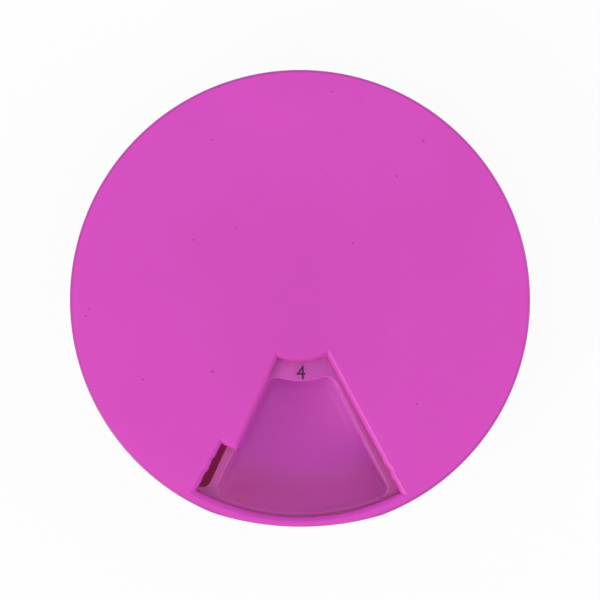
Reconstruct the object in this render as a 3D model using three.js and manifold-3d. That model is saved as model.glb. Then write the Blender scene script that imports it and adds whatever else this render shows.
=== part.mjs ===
// A round pill box for seven days: a tray of seven wedge-shaped compartments, and a lid with
// one wedge-shaped window that turns on it. A headed pin, pressed into the lid from below,
// holds the two together. Lengths are millimetres, +Z is up, and the origin is on the pivot
// axis at the face that the box stands on. The window looks towards -Y.
import * as THREE from 'three';
import { mergeVertices } from 'three/addons/utils/BufferGeometryUtils.js';
import Module from 'manifold-3d';

// Overall sizes
const overallHeight = 20;
const lidRadius = 44.5;
const rimHeight = 6;
const seamGap = 0.4;
const rimSetback = 0.2;

// Lid
const plateThickness = 1.8;
const skirtThickness = 1.6;
const lidEdgeRadius = 0.5;
const skirtFootRadius = 0.3;
const easeDepth = 0.65;
const easeHalfDegrees = 21.5;
const easeTurnDegrees = -3;
const restTurnDegrees = 1.5;

// Window in the lid, with a notch beside it at the rim
const windowInnerRadius = 11.9;
const windowRimWidth = 2.4;
const windowHalfDegrees = 26;
const windowSideOffset = 0.5;
const windowChamfer = 0.85;
const notchInnerRadius = 31.6;
const notchDegrees = 30.85;

// Tray
const dayCount = 7;
const floorThickness = 1.6;
const wallThickness = 1.3;
const dividerThickness = 1.6;
const hubRadius = 15.7;
const hubTopThickness = 1.6;
const hubWallThickness = 1.6;
const wallGap = 0.3;
const topGap = 0.5;
const innerScoopRadius = 4;
const outerScoopRadius = 9;
const dividerFootRadius = 2;
const trayEdgeRadius = 0.3;
const baseEdgeRadius = 0.8;
const rimWallThickness = 1.5;
const grooveWidth = 4.2;

// Pivot: a spigot under the lid turns in a tube under the hub, and the pin's head holds it
const spigotRadius = 3.6;
const spigotGap = 0.2;
const tubeWallThickness = 1.6;
const tubeBottomHeight = 5.6;
const endPlay = 0.25;
const pinRadius = 1.6;
const pinPressGap = 0.1;
const pinHeadRadius = 5.4;
const pinHeadThickness = 1.4;
const pinEdgeRadius = 0.3;
const pinTipGap = 0.6;
const thrustRingWidth = 2;
const thrustRingHeight = 0.25;
const ribThickness = 1.2;
const ribBottomHeight = 7;
const ribCount = 4;

// Click stops: a nub under the lid passes over seven dimples in the hub's top
const clickRadius = 9;
const nubRadius = 1;
const nubHeight = 0.4;
const dimpleRadius = 1.6;
const dimpleDepth = 0.35;

// How finely round shapes are cut, and how far cutters run past what they cut
const roundSteps = 56;
const smallRoundSteps = 24;
const cornerSteps = 2;
const scoopSteps = 4;
const easeSteps = 120;
const clickSteps = 8;
const overrun = 1;

// Sizes that follow from the ones above
const plateUnder = overallHeight - plateThickness;
const skirtBottom = rimHeight + seamGap;
const skirtInnerRadius = lidRadius - skirtThickness;
const trayTop = plateUnder - topGap;
const trayWallRadius = skirtInnerRadius - wallGap;
const pocketOuterRadius = trayWallRadius - wallThickness;
const rimRadius = lidRadius - rimSetback;
const wellRadius = hubRadius - hubWallThickness;
const wellCeiling = trayTop - hubTopThickness;
const tubeBoreRadius = spigotRadius + spigotGap;
const tubeRadius = tubeBoreRadius + tubeWallThickness;
const spigotBottom = tubeBottomHeight - endPlay;
const spigotBoreRadius = pinRadius + pinPressGap;
const windowOuterRadius = lidRadius - windowRimWidth;
const dayAngle = (2 * Math.PI) / dayCount;

const wasm = await Module();
wasm.setup();

const radians = (degrees) => (degrees * Math.PI) / 180;

// A point in plan at a radius, its angle counted from -Y towards +X.
function planPoint(radius, angle) {
  return new THREE.Vector2(radius * Math.sin(angle), -radius * Math.cos(angle));
}

// Points along an arc about a centre, both ends included.
function arc(centreX, centreY, radius, from, to, steps) {
  return Array.from({ length: steps + 1 }, (_, step) => {
    const angle = from + ((to - from) * step) / steps;
    return new THREE.Vector2(centreX + radius * Math.cos(angle), centreY + radius * Math.sin(angle));
  });
}

// Points along a quarter circle, from an angle on.
function corner(centreX, centreY, radius, from, steps) {
  return arc(centreX, centreY, radius, from, from + Math.PI / 2, steps);
}

// Points along an arc about the pivot axis, its angles counted from -Y.
function planArc(radius, from, to) {
  const steps = Math.max(1, Math.ceil((roundSteps * Math.abs(to - from)) / (2 * Math.PI)));
  const angles = Array.from({ length: steps + 1 }, (_, step) => from + ((to - from) * step) / steps);
  return angles.map((angle) => planPoint(radius, angle));
}

// A closed geometry as a solid that can be cut and joined.
function solidFrom(geometry) {
  const bare = geometry.clone();
  bare.deleteAttribute('normal');
  bare.deleteAttribute('uv');
  const welded = mergeVertices(bare);
  return new wasm.Manifold(
    new wasm.Mesh({
      numProp: 3,
      vertProperties: welded.attributes.position.array,
      triVerts: new Uint32Array(welded.index.array),
    })
  );
}

// A profile of radius and height turned about the pivot axis. It runs up on its outer side.
function turned(profile, steps) {
  return solidFrom(new THREE.LatheGeometry(profile, steps).rotateX(Math.PI / 2));
}

// A plan outline raised from one height to another.
function raised(outline, bottom, top) {
  const settings = { depth: top - bottom, bevelEnabled: false };
  const geometry = new THREE.ExtrudeGeometry(new THREE.Shape(outline), settings);
  return solidFrom(geometry.translate(0, 0, bottom));
}

// A solid as a named mesh in its own colour.
function pieceFrom(solid, name, material) {
  const { vertProperties, triVerts } = solid.getMesh();
  const geometry = new THREE.BufferGeometry();
  geometry.setAttribute('position', new THREE.BufferAttribute(new Float32Array(vertProperties), 3));
  geometry.setIndex(new THREE.BufferAttribute(new Uint32Array(triVerts), 1));
  geometry.computeVertexNormals();
  const piece = new THREE.Mesh(geometry, material);
  piece.name = name;
  return piece;
}

// The angle at which a side line, parallel to a radius and set in from it, crosses a radius.
function sideAngle(halfAngle, offset, radius) {
  return halfAngle - Math.asin(offset / radius);
}

// The window's outline at its wall: an inner arc, two straight sides and an outer arc. On the
// left it widens into the notch, from a step to the rim.
function windowOutline() {
  const half = radians(windowHalfDegrees);
  const side = (radius) => sideAngle(half, windowSideOffset, radius);
  const notch = radians(notchDegrees);
  return [
    ...planArc(windowInnerRadius, -side(windowInnerRadius), side(windowInnerRadius)),
    ...planArc(windowOuterRadius, side(windowOuterRadius), -notch),
    ...planArc(notchInnerRadius, -notch, -side(notchInnerRadius)),
  ];
}

// The window's cutter: straight through the plate, and widening at its top edge.
function windowCutter() {
  const outline = windowOutline();
  const through = raised(outline, plateUnder - overrun, overallHeight + overrun);
  const mouth = new THREE.ExtrudeGeometry(new THREE.Shape(outline), {
    depth: overrun,
    bevelThickness: windowChamfer,
    bevelSize: windowChamfer,
    bevelSegments: 1,
  });
  return through.add(solidFrom(mouth.translate(0, 0, overallHeight)));
}

// The disc that flattens the lid's outline in front of the window: its arc passes through the
// lid's outline at both ends of the eased stretch and is set in by the ease's depth between.
function easeDisc() {
  const half = radians(easeHalfDegrees);
  const chord = lidRadius * Math.sin(half);
  const rise = lidRadius - easeDepth - lidRadius * Math.cos(half);
  const radius = (chord * chord + rise * rise) / (2 * rise);
  const centre = planPoint(radius - (lidRadius - easeDepth), radians(easeTurnDegrees) + Math.PI);
  const disc = new THREE.CylinderGeometry(radius, radius, overallHeight + 2 * overrun, easeSteps);
  return solidFrom(disc.rotateX(Math.PI / 2).translate(centre.x, centre.y, overallHeight / 2));
}

// The lid's cap: a flat plate with a skirt all round.
function capProfile() {
  const footRadius = lidRadius - skirtFootRadius;
  return [
    new THREE.Vector2(0, plateUnder),
    new THREE.Vector2(skirtInnerRadius, plateUnder),
    new THREE.Vector2(skirtInnerRadius, skirtBottom),
    ...corner(footRadius, skirtBottom + skirtFootRadius, skirtFootRadius, -Math.PI / 2, cornerSteps),
    ...corner(lidRadius - lidEdgeRadius, overallHeight - lidEdgeRadius, lidEdgeRadius, 0, cornerSteps),
    new THREE.Vector2(0, overallHeight),
  ];
}

// The spigot with its blind bore, and the thrust ring round its root. It reaches into the
// plate, so that the two join.
function spigotProfile() {
  const thrustRadius = spigotRadius + thrustRingWidth;
  const thrustBottom = plateUnder - thrustRingHeight;
  const root = plateUnder + plateThickness / 2;
  return [
    new THREE.Vector2(0, plateUnder),
    new THREE.Vector2(spigotBoreRadius, plateUnder),
    new THREE.Vector2(spigotBoreRadius, spigotBottom),
    new THREE.Vector2(spigotRadius, spigotBottom),
    new THREE.Vector2(spigotRadius, thrustBottom),
    new THREE.Vector2(thrustRadius, thrustBottom),
    new THREE.Vector2(thrustRadius, root),
    new THREE.Vector2(0, root),
  ];
}

// A round bump or dimple of a given radius in plan and height, centred on a face.
function clickBall(radius, height, faceHeight, angle) {
  const place = planPoint(clickRadius, angle);
  const ball = new THREE.SphereGeometry(radius, clickSteps, clickSteps / 2).rotateX(Math.PI / 2);
  return solidFrom(ball.scale(1, 1, height / radius).translate(place.x, place.y, faceHeight));
}

function makeLid() {
  return turned(capProfile(), roundSteps)
    .intersect(easeDisc())
    .subtract(windowCutter())
    .add(turned(spigotProfile(), smallRoundSteps))
    .add(clickBall(nubRadius, nubHeight, plateUnder, 0));
}

// The height of a compartment's floor at a radius under its outer scoop.
function scoopHeight(radius) {
  const run = Math.max(0, radius - (pocketOuterRadius - outerScoopRadius));
  return floorThickness + outerScoopRadius - Math.sqrt(Math.max(0, outerScoopRadius ** 2 - run ** 2));
}

// The tray without its compartments: rim, wall, hub well and pivot tube. A groove under the
// outer corner keeps the walls there even.
function trayProfile() {
  const grooveOuter = rimRadius - rimWallThickness;
  const grooveInner = grooveOuter - grooveWidth;
  const grooveInnerTop = scoopHeight(grooveInner) - floorThickness;
  const grooveOuterTop = rimHeight - floorThickness;
  return [
    new THREE.Vector2(tubeBoreRadius, tubeBottomHeight),
    new THREE.Vector2(tubeRadius, tubeBottomHeight),
    new THREE.Vector2(tubeRadius, wellCeiling),
    new THREE.Vector2(wellRadius, wellCeiling),
    new THREE.Vector2(wellRadius, 0),
    new THREE.Vector2(grooveInner, 0),
    new THREE.Vector2(grooveInner, grooveInnerTop),
    new THREE.Vector2(grooveOuter, grooveOuterTop),
    new THREE.Vector2(grooveOuter, 0),
    ...corner(rimRadius - baseEdgeRadius, baseEdgeRadius, baseEdgeRadius, -Math.PI / 2, cornerSteps),
    ...corner(rimRadius - trayEdgeRadius, rimHeight - trayEdgeRadius, trayEdgeRadius, 0, cornerSteps),
    new THREE.Vector2(trayWallRadius, rimHeight),
    ...corner(trayWallRadius - trayEdgeRadius, trayTop - trayEdgeRadius, trayEdgeRadius, 0, cornerSteps),
    new THREE.Vector2(tubeBoreRadius, trayTop),
    new THREE.Vector2(tubeBoreRadius, tubeBottomHeight),
  ];
}

// The ring-shaped trough that the compartments are cut from, its floor scooped up to both walls.
function troughProfile() {
  const inner = hubRadius + innerScoopRadius;
  const outer = pocketOuterRadius - outerScoopRadius;
  const top = trayTop + overrun;
  return [
    new THREE.Vector2(hubRadius, top),
    ...corner(inner, floorThickness + innerScoopRadius, innerScoopRadius, Math.PI, scoopSteps),
    ...corner(outer, floorThickness + outerScoopRadius, outerScoopRadius, 1.5 * Math.PI, scoopSteps),
    new THREE.Vector2(pocketOuterRadius, top),
    new THREE.Vector2(hubRadius, top),
  ];
}

// A wedge between two dividers, with rounded feet along them. It runs past both ends of the
// compartment, where the trough ends it.
function wedgeCutter(index) {
  const half = dayAngle / 2;
  const near = hubRadius - dividerFootRadius - overrun;
  const far = (pocketOuterRadius + dividerFootRadius + overrun) / Math.cos(half);
  const side = (radius) => sideAngle(half, dividerThickness / 2, radius);
  const outline = [
    planPoint(near, -side(near)),
    planPoint(near, side(near)),
    planPoint(far, side(far)),
    planPoint(far, -side(far)),
  ];
  const wedge = new THREE.ExtrudeGeometry(new THREE.Shape(outline), {
    depth: trayTop + overrun - floorThickness - dividerFootRadius,
    bevelThickness: dividerFootRadius,
    bevelSize: dividerFootRadius,
    bevelOffset: -dividerFootRadius,
    bevelSegments: cornerSteps,
  });
  return solidFrom(wedge.translate(0, 0, floorThickness + dividerFootRadius).rotateZ(index * dayAngle));
}

// A rib between the pivot tube and the hub's wall, reaching into both.
function tubeRib(index) {
  const start = tubeRadius - tubeWallThickness / 2;
  const end = wellRadius + hubWallThickness / 2;
  const height = wellCeiling + hubTopThickness / 2 - ribBottomHeight;
  const rib = new THREE.BoxGeometry(end - start, ribThickness, height);
  const placed = rib.translate((start + end) / 2, 0, ribBottomHeight + height / 2);
  return solidFrom(placed.rotateZ((index * 2 * Math.PI) / ribCount));
}

function makeTray() {
  const trough = turned(troughProfile(), roundSteps);
  let tray = turned(trayProfile(), roundSteps);
  for (let day = 0; day < dayCount; day += 1) {
    tray = tray.subtract(trough.intersect(wedgeCutter(day)));
    tray = tray.subtract(clickBall(dimpleRadius, dimpleDepth, trayTop, day * dayAngle));
  }
  for (let index = 0; index < ribCount; index += 1) {
    tray = tray.add(tubeRib(index));
  }
  return tray;
}

// The pin: a flat head under the tube's end, and a shank with an eased tip in the spigot's bore.
function makePin() {
  const headTop = spigotBottom - pinPressGap;
  const headBottom = headTop - pinHeadThickness;
  const headCorner = pinHeadRadius - pinEdgeRadius;
  const tip = plateUnder - pinTipGap;
  const profile = [
    new THREE.Vector2(0, headBottom),
    ...corner(headCorner, headBottom + pinEdgeRadius, pinEdgeRadius, -Math.PI / 2, cornerSteps),
    new THREE.Vector2(pinHeadRadius, headTop),
    new THREE.Vector2(pinRadius, headTop),
    ...corner(pinRadius - pinEdgeRadius, tip - pinEdgeRadius, pinEdgeRadius, 0, cornerSteps),
    new THREE.Vector2(0, tip),
  ];
  return turned(profile, smallRoundSteps);
}

const lidPlastic = new THREE.MeshStandardMaterial({ color: 0xcf52bb, roughness: 0.42, metalness: 0 });
const trayPlastic = new THREE.MeshStandardMaterial({ color: 0xc44fb0, roughness: 0.45, metalness: 0 });
const pinPlastic = new THREE.MeshStandardMaterial({ color: 0xc44fb0, roughness: 0.5, metalness: 0 });

const cover = new THREE.Group();
cover.add(pieceFrom(makeLid(), 'lid', lidPlastic));
cover.add(pieceFrom(makePin(), 'pivot_pin', pinPlastic));
cover.rotation.z = radians(restTurnDegrees);

const group = new THREE.Group();
group.add(pieceFrom(makeTray(), 'tray', trayPlastic));
group.add(cover);

export default group;
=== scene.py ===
# %% [markdown]
# # A round pill box for seven days
#
# The box is three mouldings in magenta plastic: a tray of seven wedge-shaped compartments, a
# flat lid with one wedge-shaped window, and a headed pin that holds the two together from
# below. The engineering model already says how large each moulding is and how the lid turns.
# Here each one is modelled again as a fine, rounded mesh with its real finish, and it is
# lit and seen from straight above.

# %% Load the engineering model
import math

import bmesh
import bpy
from mathutils import Matrix, Vector


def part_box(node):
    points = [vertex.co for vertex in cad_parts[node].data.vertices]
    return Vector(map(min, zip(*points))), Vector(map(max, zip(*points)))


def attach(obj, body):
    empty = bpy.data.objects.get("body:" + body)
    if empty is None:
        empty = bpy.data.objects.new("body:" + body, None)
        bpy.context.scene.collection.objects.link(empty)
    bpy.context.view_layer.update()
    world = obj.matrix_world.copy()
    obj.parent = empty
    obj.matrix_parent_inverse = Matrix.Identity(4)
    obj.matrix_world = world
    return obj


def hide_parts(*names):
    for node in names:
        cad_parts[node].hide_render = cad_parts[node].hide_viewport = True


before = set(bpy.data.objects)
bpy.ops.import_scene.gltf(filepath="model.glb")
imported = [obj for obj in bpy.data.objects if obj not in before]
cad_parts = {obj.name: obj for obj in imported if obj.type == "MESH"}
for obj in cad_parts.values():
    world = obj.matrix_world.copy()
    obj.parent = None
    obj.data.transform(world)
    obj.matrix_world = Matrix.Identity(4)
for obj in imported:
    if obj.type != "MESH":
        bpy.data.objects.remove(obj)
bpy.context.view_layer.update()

# %% [markdown]
# ## Units and heights
#
# Blender works in metres here, so a small factor turns millimetres into metres. Heights come
# from the engineering model's own nodes. Sizes in plan are written once, by name, in the cell
# that needs them first. An angle in plan is counted from -Y, where the window is, towards +X.

# %% Units and heights
MM = 0.001
TURN = 2 * math.pi

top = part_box("lid")[1].z
tray_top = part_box("tray")[1].z
spigot_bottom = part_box("lid")[0].z
print("lid top, tray top, spigot end, mm:", [round(z / MM, 2) for z in (top, tray_top, spigot_bottom)])

# %% [markdown]
# ## Tools for round mouldings
#
# Nearly every edge here is an arc about the pivot axis. Blender's spin operator sweeps a
# single vertex into such an arc, and sweeps a whole profile into a turned surface, so one
# operator makes both.

# %% Points in plan
AXIS = Vector((0, 0, 1))
SIDEWAYS = Vector((1, 0, 0))
ORIGIN = Vector((0, 0, 0))


def plan_point(radius, angle, height):
    """A point at a radius and height, its angle counted from -Y towards +X."""
    return Vector((radius * math.sin(angle), -radius * math.cos(angle), height))


def plan_angle(point):
    """The angle of a point in plan, counted from -Y towards +X."""
    return math.atan2(point.x, -point.y)


def plan_radius(point):
    """The distance of a point from the pivot axis."""
    return math.hypot(point.x, point.y)


print("a quarter turn from the front leads to", [round(c, 3) for c in plan_point(1, TURN / 4, 0)])

# %% Arcs, rings and straight runs
least_arc_steps = 2


def unique(items):
    """The items without repeats, in a fixed order."""
    return list(dict.fromkeys(items))


def only_verts(items):
    """The vertices among what an operator returned."""
    return [item for item in items if isinstance(item, bmesh.types.BMVert)]


def arc(bm, centre, first, axis, angle, steps):
    """Spins one vertex about a centre into a run of edges, and returns its two ends."""
    start = bm.verts.new(first)
    spun = bmesh.ops.spin(
        bm, geom=[start], cent=centre, axis=axis, angle=angle, steps=steps, use_merge=False
    )
    return start, only_verts(spun["geom_last"])[0]


def plan_arc(bm, radius, height, start, end, step_length):
    """An arc about the pivot axis, in steps of about a given length."""
    steps = max(least_arc_steps, math.ceil(abs(end - start) * radius / step_length))
    return arc(bm, (0, 0, height), plan_point(radius, start, height), AXIS, end - start, steps)


def loop_edges(verts):
    """The edges that run between these vertices."""
    chosen = set(verts)
    return unique(e for v in verts for e in v.link_edges if e.other_vert(v) in chosen)


def ring(bm, radius, centre, steps):
    """A closed circle of edges, flat in plan."""
    made = bmesh.ops.create_circle(bm, segments=steps, radius=radius, matrix=Matrix.Translation(centre))
    return loop_edges(made["verts"])


def joined(bm, pairs, cuts):
    """Straight runs of edges between pairs of vertices, each cut into short steps."""
    edges = [bm.edges.new(pair) for pair in pairs]
    bmesh.ops.subdivide_edges(bm, edges=edges, cuts=cuts)


bm = bmesh.new()
plan_arc(bm, 40 * MM, 0, 0, TURN / 6, MM)
print("a sixth of a circle 80 mm across, in steps of 1 mm, has", len(bm.edges), "edges")
bm.free()

# %% [markdown]
# ## Rounded edges
#
# Moulded plastic has no sharp edges, and each rounded one catches a thin line of light. A bevel
# with several segments makes the rounding, and a profile of 0.5 makes it a true quarter circle.
# Edges are picked by where they lie, because their numbers change whenever the shape does: a
# corner is an edge at a given height, between two distances from the axis, where the surface
# turns by more than 50 degrees.

# %% Rounding edges
corner_least = math.radians(50)
level_slack = 0.01 * MM


def round_edges(bm, edges, radius, segments, shape=0.5):
    """Bevels these edges evenly: round at a shape of 0.5, and almost flat near 0.25."""
    bmesh.ops.bevel(
        bm,
        geom=list(edges),
        offset=radius,
        offset_type="OFFSET",
        affect="EDGES",
        segments=segments,
        profile=shape,
        material=-1,
        loop_slide=False,
        clamp_overlap=False,
    )


def at_height(height):
    """A test for points that lie at one height."""
    return lambda point: abs(point.z - height) < level_slack


def corner_edges(bm, chosen):
    """The edges where two faces meet at a corner, for which chosen(middle) holds."""
    found = []
    for edge in bm.edges:
        if len(edge.link_faces) == 2 and edge.calc_face_angle(0) > corner_least:
            middle = (edge.verts[0].co + edge.verts[1].co) / 2
            if chosen(middle):
                found.append(edge)
    return found


def round_corners(bm, height, inner, outer, radius, segments, shape=0.5):
    """Rounds the corners at one height that lie between two distances from the axis."""
    level = at_height(height)
    corners = corner_edges(bm, lambda p: level(p) and inner < plan_radius(p) < outer)
    round_edges(bm, corners, radius, segments, shape)


bm = bmesh.new()
bmesh.ops.create_cube(bm, size=10 * MM)
round_corners(bm, 5 * MM, 0, math.inf, MM, 4)
print("a cube with the four edges of its top rounded has", len(bm.faces), "faces")
bm.free()

# %% [markdown]
# ## Steps on a face, and a finished piece
#
# Collars, tubes and pins stand on round faces. Extruding such a face pushes it up or down, and
# insetting it draws the next, smaller circle on it, so a stepped shape needs no separate parts.
# A few insets, each wider and flatter than the one before, make a dome or a dish.
#
# A finished mesh is merged, its faces turned outwards and shaded smooth up to an angle. The
# Weighted Normal modifier keeps the large flat faces flat, so that shade changes only across
# the roundings.

# %% Pushing, insetting and doming
dome_steps = 4
dome_ring_share = 0.9    # of a full step, so that a small flat cap is left in the middle


def push(bm, face, distance):
    """Extrudes one face along its normal and returns the moved face."""
    made = bmesh.ops.extrude_discrete_faces(bm, faces=[face])["faces"][0]
    bmesh.ops.translate(bm, verts=made.verts, vec=made.normal * distance)
    return made


def inset(bm, face, width, depth=0.0):
    """Insets one face, which stays the middle one, and moves it along its normal."""
    bmesh.ops.inset_individual(bm, faces=[face], thickness=width, depth=depth, use_even_offset=True)


def dome(bm, face, radius, height):
    """Raises a round face into a low dome, or sinks it into a dish if the height is negative."""
    for step in range(dome_steps):
        low = step / dome_steps * TURN / 4
        high = (step + dome_ring_share) / dome_steps * TURN / 4
        width = radius * (math.cos(low) - math.cos(high))
        inset(bm, face, width, height * (math.sin(high) - math.sin(low)))


bm = bmesh.new()
bmesh.ops.create_circle(bm, cap_ends=True, segments=24, radius=MM)
bm.normal_update()
dome(bm, list(bm.faces)[0], MM, 0.4 * MM)
print("a dome 2 mm across rises", round(max(abs(v.co.z) for v in bm.verts) / MM, 2), "mm")
bm.free()

# %% Finishing a piece
merge_distance = 0.001 * MM
sharp_angle = math.radians(32)


def finished(bm, name, body, nodes=()):
    """Turns the bmesh into an object that rides on a body and stands for these nodes."""
    bmesh.ops.remove_doubles(bm, verts=bm.verts, dist=merge_distance)
    bmesh.ops.recalc_face_normals(bm, faces=bm.faces)
    mesh = bpy.data.meshes.new(name)
    bm.to_mesh(mesh)
    bm.free()
    mesh.shade_smooth()
    mesh.set_sharp_from_angle(angle=sharp_angle)
    piece = bpy.data.objects.new(name, mesh)
    bpy.context.scene.collection.objects.link(piece)
    flat_shading = piece.modifiers.new("flat faces stay flat", "WEIGHTED_NORMAL")
    flat_shading.keep_sharp = True
    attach(piece, body)
    if nodes:
        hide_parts(*nodes)
    print(name, "has", len(mesh.vertices), "points and", len(mesh.polygons), "faces")
    return piece


print("faces that meet at less than", round(math.degrees(sharp_angle)), "degrees are shaded smooth")

# %% [markdown]
# ## The lid's outline
#
# The real lid is one moulding: a round plate with a skirt under its edge. Seen from above it is
# a circle that is eased a little flat in front of the window. A circle operator gives the
# outline, and in front each of its points is pulled in to a flatter arc.

# %% The lid's outline
lid_radius = 44.5 * MM
plate_thickness = 1.8 * MM
plate_under = top - plate_thickness
ease_depth = 0.65 * MM
ease_half = math.radians(21.5)
ease_turn = math.radians(-3)
rim_steps = 288


def eased_radius(angle):
    """The lid's outline: a circle, flattened in front by a larger circle through it."""
    front = lid_radius - ease_depth
    chord = lid_radius * math.sin(ease_half)
    rise = front - lid_radius * math.cos(ease_half)
    flat = (chord**2 + rise**2) / (2 * rise)
    back = flat - front
    away = angle - ease_turn
    reach = math.sqrt(flat**2 - (back * math.sin(away)) ** 2) - back * math.cos(away)
    return min(lid_radius, reach)


def lid_outline(bm):
    """The rim of the lid, as a closed ring of edges."""
    edges = ring(bm, lid_radius, (0, 0, plate_under), rim_steps)
    for vert in unique(v for e in edges for v in e.verts):
        angle = plan_angle(vert.co)
        vert.co = plan_point(eased_radius(angle), angle, vert.co.z)
    return edges


print("eased in front to", round(eased_radius(ease_turn) / MM, 2), "mm")

# %% [markdown]
# ## The window
#
# The window is a wedge that shows one compartment, with a notch at its left near the rim. It
# could be cut out with a boolean, but an outline that is drawn and filled gives clean edges
# that a bevel can follow. Three arcs and three straight sides make it. The last stretch of its
# sides has slight waves, as a worn moulding tool leaves them.

# %% Waves along the window's sides
worn_start = 33 * MM
worn_end = 41.5 * MM
worn_depth = 0.13 * MM
worn_waves = 2.6
second_depth = 0.5
second_waves = 2.3
second_start = 1


def worn(verts):
    """Moves the points in the last stretch of the window's sides by two waves of their own."""
    for vert in verts:
        radius = plan_radius(vert.co)
        if worn_start < radius < worn_end:
            along = (radius - worn_start) / (worn_end - worn_start)
            waves = along * worn_waves
            swing = math.sin(waves * TURN)
            swing += second_depth * math.sin(waves * second_waves * TURN + second_start)
            fade = math.sin(along * math.pi)
            sideways = plan_angle(vert.co) + TURN / 4
            vert.co += plan_point(worn_depth * swing * fade, sideways, 0)


print("the waves run over", round((worn_end - worn_start) / MM, 1), "mm of each side")

# %% The window's outline
window_inner = 11.9 * MM
window_outer = 42.1 * MM
window_half = math.radians(26)
window_side_offset = 0.5 * MM
notch_inner = 31.6 * MM
notch_angle = math.radians(30.85)
arc_step = 1.1 * MM
side_cuts = 20
longest_step = 1.2 * MM


def side_angle(half, offset, radius):
    """The angle, at a radius, of a side that runs parallel to the line at angle half, set in from it."""
    return half - math.asin(offset / radius)


def window_side(radius):
    """The angle of the window's right side at a radius. The left one's is the same, below zero."""
    return side_angle(window_half, window_side_offset, radius)


def window_outline(bm):
    """The window's outline, drawn first, in an empty bmesh."""
    near, far = window_side(window_inner), window_side(window_outer)
    inner = plan_arc(bm, window_inner, plate_under, -near, near, arc_step)
    outer = plan_arc(bm, window_outer, plate_under, far, -notch_angle, arc_step)
    step = plan_arc(bm, notch_inner, plate_under, -notch_angle, -window_side(notch_inner), arc_step)
    joined(bm, [(inner[1], outer[0]), (outer[1], step[0]), (step[1], inner[0])], side_cuts)
    long_steps = [e for e in bm.edges if e.calc_length() > longest_step]
    bmesh.ops.subdivide_edges(bm, edges=long_steps, cuts=1)
    worn(bm.verts)
    return list(bm.edges)


bm = bmesh.new()
around = sum(edge.calc_length() for edge in window_outline(bm))
print("the window is", round(around / MM, 1), "mm around, in", len(bm.edges), "edges")
bm.free()

# %% [markdown]
# ## The plate and the skirt
#
# The outlines of the lid's underside are all drawn at one height: the rim, the skirt's inner
# wall, the window, the thrust ring in the middle and the click nub. The space between them is
# filled once. Extruding everything upwards makes the plate, and extruding the ring under its
# edge downwards makes the skirt.

# %% Filling, lifting and finding faces
level_least = 0.9


def filled(bm, edges):
    """Fills a closed ring of edges with one face."""
    return bmesh.ops.contextual_create(bm, geom=edges)["faces"][0]


def moved_up(bm, extruded, height):
    """Moves what an extrusion made up by a height, or down if the height is negative."""
    bmesh.ops.translate(bm, verts=only_verts(extruded), vec=AXIS * height)


def flat_face_at(bm, point):
    """The level face whose middle lies nearest to a point."""
    level = [f for f in bm.faces if abs(f.normal.z) > level_least]
    return min(level, key=lambda f: (f.calc_center_median() - Vector(point)).length)


bm = bmesh.new()
disc = filled(bm, ring(bm, 5 * MM, ORIGIN, 48))
print("a filled ring 10 mm across covers", round(disc.calc_area() / MM**2, 1), "square mm")
bm.free()

# %% The lid's plate and skirt
skirt_thickness = 1.6 * MM
skirt_inner = lid_radius - skirt_thickness
skirt_bottom = 6.4 * MM
thrust_radius = 5.6 * MM
click_radius = 9 * MM
nub_radius = 1 * MM
thrust_steps = 48
nub_steps = 24


def lid_plate(bm):
    """The flat lid with its window, and the skirt under its edge."""
    window = window_outline(bm)
    outline = lid_outline(bm)
    seam = ring(bm, skirt_inner, (0, 0, plate_under), rim_steps)
    thrust = ring(bm, thrust_radius, (0, 0, plate_under), thrust_steps)
    nub = ring(bm, nub_radius, plan_point(click_radius, 0, plate_under), nub_steps)
    skirt = bmesh.ops.bridge_loops(bm, edges=outline + seam)["faces"]
    bmesh.ops.triangle_fill(bm, edges=seam + window + thrust + nub, use_beauty=True, normal=AXIS)
    filled(bm, thrust)
    filled(bm, nub)
    plate = bmesh.ops.extrude_face_region(bm, geom=list(bm.faces))["geom"]
    moved_up(bm, plate, plate_thickness)
    dropped = bmesh.ops.extrude_face_region(bm, geom=skirt)["geom"]
    moved_up(bm, dropped, skirt_bottom - plate_under)
    bmesh.ops.delete(bm, geom=skirt, context="FACES")
    bmesh.ops.recalc_face_normals(bm, faces=bm.faces)


print("the plate is", round(plate_thickness / MM, 2), "mm thick")
print("the skirt ends", round((top - skirt_bottom) / MM, 2), "mm below the lid's top")

# %% [markdown]
# ## What the lid turns on
#
# A thin thrust ring under the plate slides on the hub's top, so that the rest of the lid stays
# clear of it. Inside it a hollow spigot reaches down into the tray's pivot tube and takes the
# pin. Beside it a small round nub drops into one of the hub's dimples at each day, which gives
# the click. All three grow out of the round faces that were left in the plate's underside.

# %% The spigot and the click nub
thrust_height = 0.25 * MM
spigot_radius = 3.6 * MM
spigot_bore = 1.7 * MM
nub_height = 0.4 * MM


def lid_pivot(bm):
    """The thrust ring, the hollow spigot in it, and the click nub beside them."""
    face = push(bm, flat_face_at(bm, (0, 0, plate_under)), thrust_height)
    inset(bm, face, thrust_radius - spigot_radius)
    face = push(bm, face, face.calc_center_median().z - spigot_bottom)
    inset(bm, face, spigot_radius - spigot_bore)
    push(bm, face, spigot_bottom - plate_under)
    dome(bm, flat_face_at(bm, plan_point(click_radius, 0, plate_under)), nub_radius, nub_height)


print("the spigot hangs", round((plate_under - spigot_bottom) / MM, 2), "mm below the plate")

# %% [markdown]
# ## The lid, rounded
#
# A face can't have a hole in it, so the lid's top is made of many thin triangles round the
# window, and they would leave lines in its shading. Cutting the top in two along the middle
# and merging the triangles on each side leaves just two large faces.
#
# The lid's outer edge is a true rounding. The window's edge is a wider one, and in the
# photograph it is almost a flat bevel, so its profile is 0.3. At rest the lid isn't quite in
# line with the tray under it, and the whole lid is turned by that small angle at the end.

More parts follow.
